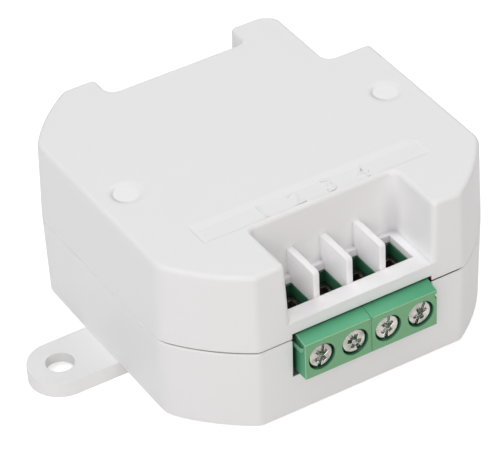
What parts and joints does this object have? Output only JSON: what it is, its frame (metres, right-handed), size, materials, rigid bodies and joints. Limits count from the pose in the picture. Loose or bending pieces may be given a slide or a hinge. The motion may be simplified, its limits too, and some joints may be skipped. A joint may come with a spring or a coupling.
{
  "type": "kinetic switch receiver module",
  "caption": "Flush-box relay receiver: casing with cut corners, rear cable notch, side mounting ear and a front recess over screw terminals.",
  "frame": {"origin": "centre of the flush box's circle on the mounting face, the flat underside of the base", "axes": "+Z from the mounting face to the labelled face, -Y towards the terminals, the mounting ear towards -X"},
  "size_m": [0.0605, 0.052, 0.0267],
  "materials": {
    "casing": "fine satin, off-white",
    "screw_steel": "nickel plated",
    "cage_metal": "nickel plated",
    "brass": "bare",
    "terminal_green": "satin",
    "board": "solder resist",
    "relay_blue": "smooth",
    "black_plastic": "matt",
    "white_plastic": "matt",
    "yellow_plastic": "smooth",
    "can_sleeve": "sleeved",
    "resistor_body": "lacquered",
    "tinned": "tinned",
    "soft_iron": "plated",
    "winding": "enamelled copper"
  },
  "bodies": {
    "casing": {"top_shell": "casing", "bottom_shell": "casing", "case_screws": "screw_steel", "terminal_housing_1": "terminal_green", "terminal_housing_2": "terminal_green", "contact_bar_1": "brass", "contact_bar_2": "brass", "contact_bar_3": "brass", "contact_bar_4": "brass", "circuit_board": "board", "relay_cover": "relay_blue", "relay_base": "black_plastic", "relay_coil_pins": "tinned", "relay_yoke": "soft_iron", "relay_bobbin": "white_plastic", "relay_winding": "winding", "relay_fixed_contacts": "brass", "film_capacitor": "yellow_plastic", "reservoir_capacitor": "can_sleeve", "filter_capacitor": "can_sleeve", "varistor": "relay_blue", "fuse_resistor": "resistor_body", "bridge_rectifier": "black_plastic", "radio_board": "board", "radio_header": "black_plastic", "radio_chip": "black_plastic", "radio_crystal": "tinned", "antenna_coil": "tinned", "controller_chip": "black_plastic", "driver_parts": "black_plastic", "chip_resistors": "black_plastic", "tact_switch": "black_plastic"},
    "clamp_screw_1": {"terminal_screw_1": "screw_steel"},
    "clamp_screw_2": {"terminal_screw_2": "screw_steel"},
    "clamp_screw_3": {"terminal_screw_3": "screw_steel"},
    "clamp_screw_4": {"terminal_screw_4": "screw_steel"},
    "cage_1": {"clamp_cage_1": "cage_metal"},
    "cage_2": {"clamp_cage_2": "cage_metal"},
    "cage_3": {"clamp_cage_3": "cage_metal"},
    "cage_4": {"clamp_cage_4": "cage_metal"},
    "armature": {"relay_armature": "soft_iron", "relay_reed": "brass"},
    "button": {"pairing_button": "white_plastic", "tact_stem": "black_plastic"}
  },
  "joints": [
    {"name": "clamp_screw_turn_1", "type": "hinge", "parent": "casing", "child": "clamp_screw_1", "pos_m": [-0.00757, -0.0267, 0.01185], "axis": [0, 1, 0], "range_deg": [0, 1440.5]},
    {"name": "clamp_screw_turn_2", "type": "hinge", "parent": "casing", "child": "clamp_screw_2", "pos_m": [-0.00249, -0.0267, 0.01185], "axis": [0, 1, 0], "range_deg": [0, 1440.5]},
    {"name": "clamp_screw_turn_3", "type": "hinge", "parent": "casing", "child": "clamp_screw_3", "pos_m": [0.00259, -0.0267, 0.01185], "axis": [0, 1, 0], "range_deg": [0, 1440.5]},
    {"name": "clamp_screw_turn_4", "type": "hinge", "parent": "casing", "child": "clamp_screw_4", "pos_m": [0.00767, -0.0267, 0.01185], "axis": [0, 1, 0], "range_deg": [0, 1440.5]},
    {"name": "cage_rise_1", "type": "slide", "parent": "casing", "child": "cage_1", "axis": [0, -1, 0], "range_m": [0, 0.002]},
    {"name": "cage_rise_2", "type": "slide", "parent": "casing", "child": "cage_2", "axis": [0, -1, 0], "range_m": [0, 0.002]},
    {"name": "cage_rise_3", "type": "slide", "parent": "casing", "child": "cage_3", "axis": [0, -1, 0], "range_m": [0, 0.002]},
    {"name": "cage_rise_4", "type": "slide", "parent": "casing", "child": "cage_4", "axis": [0, -1, 0], "range_m": [0, 0.002]},
    {"name": "armature_tilt", "type": "hinge", "parent": "casing", "child": "armature", "pos_m": [0.0063, -0.0079, 0.02173], "axis": [-1, 0, 0], "range_deg": [0, 2.6], "stiffness_Nm_per_rad": 0.02, "springref_deg": -2.86},
    {"name": "button_press", "type": "slide", "parent": "casing", "child": "button", "axis": [0, 0, 1], "range_m": [0, 0.0003], "stiffness_N_per_m": 3000, "springref_m": -0.0003}
  ],
  "couplings": [
    {"joint": "clamp_screw_turn_1", "follows": "cage_rise_1", "rad_per_m": 12566},
    {"joint": "clamp_screw_turn_2", "follows": "cage_rise_2", "rad_per_m": 12566},
    {"joint": "clamp_screw_turn_3", "follows": "cage_rise_3", "rad_per_m": 12566},
    {"joint": "clamp_screw_turn_4", "follows": "cage_rise_4", "rad_per_m": 12566}
  ]
}
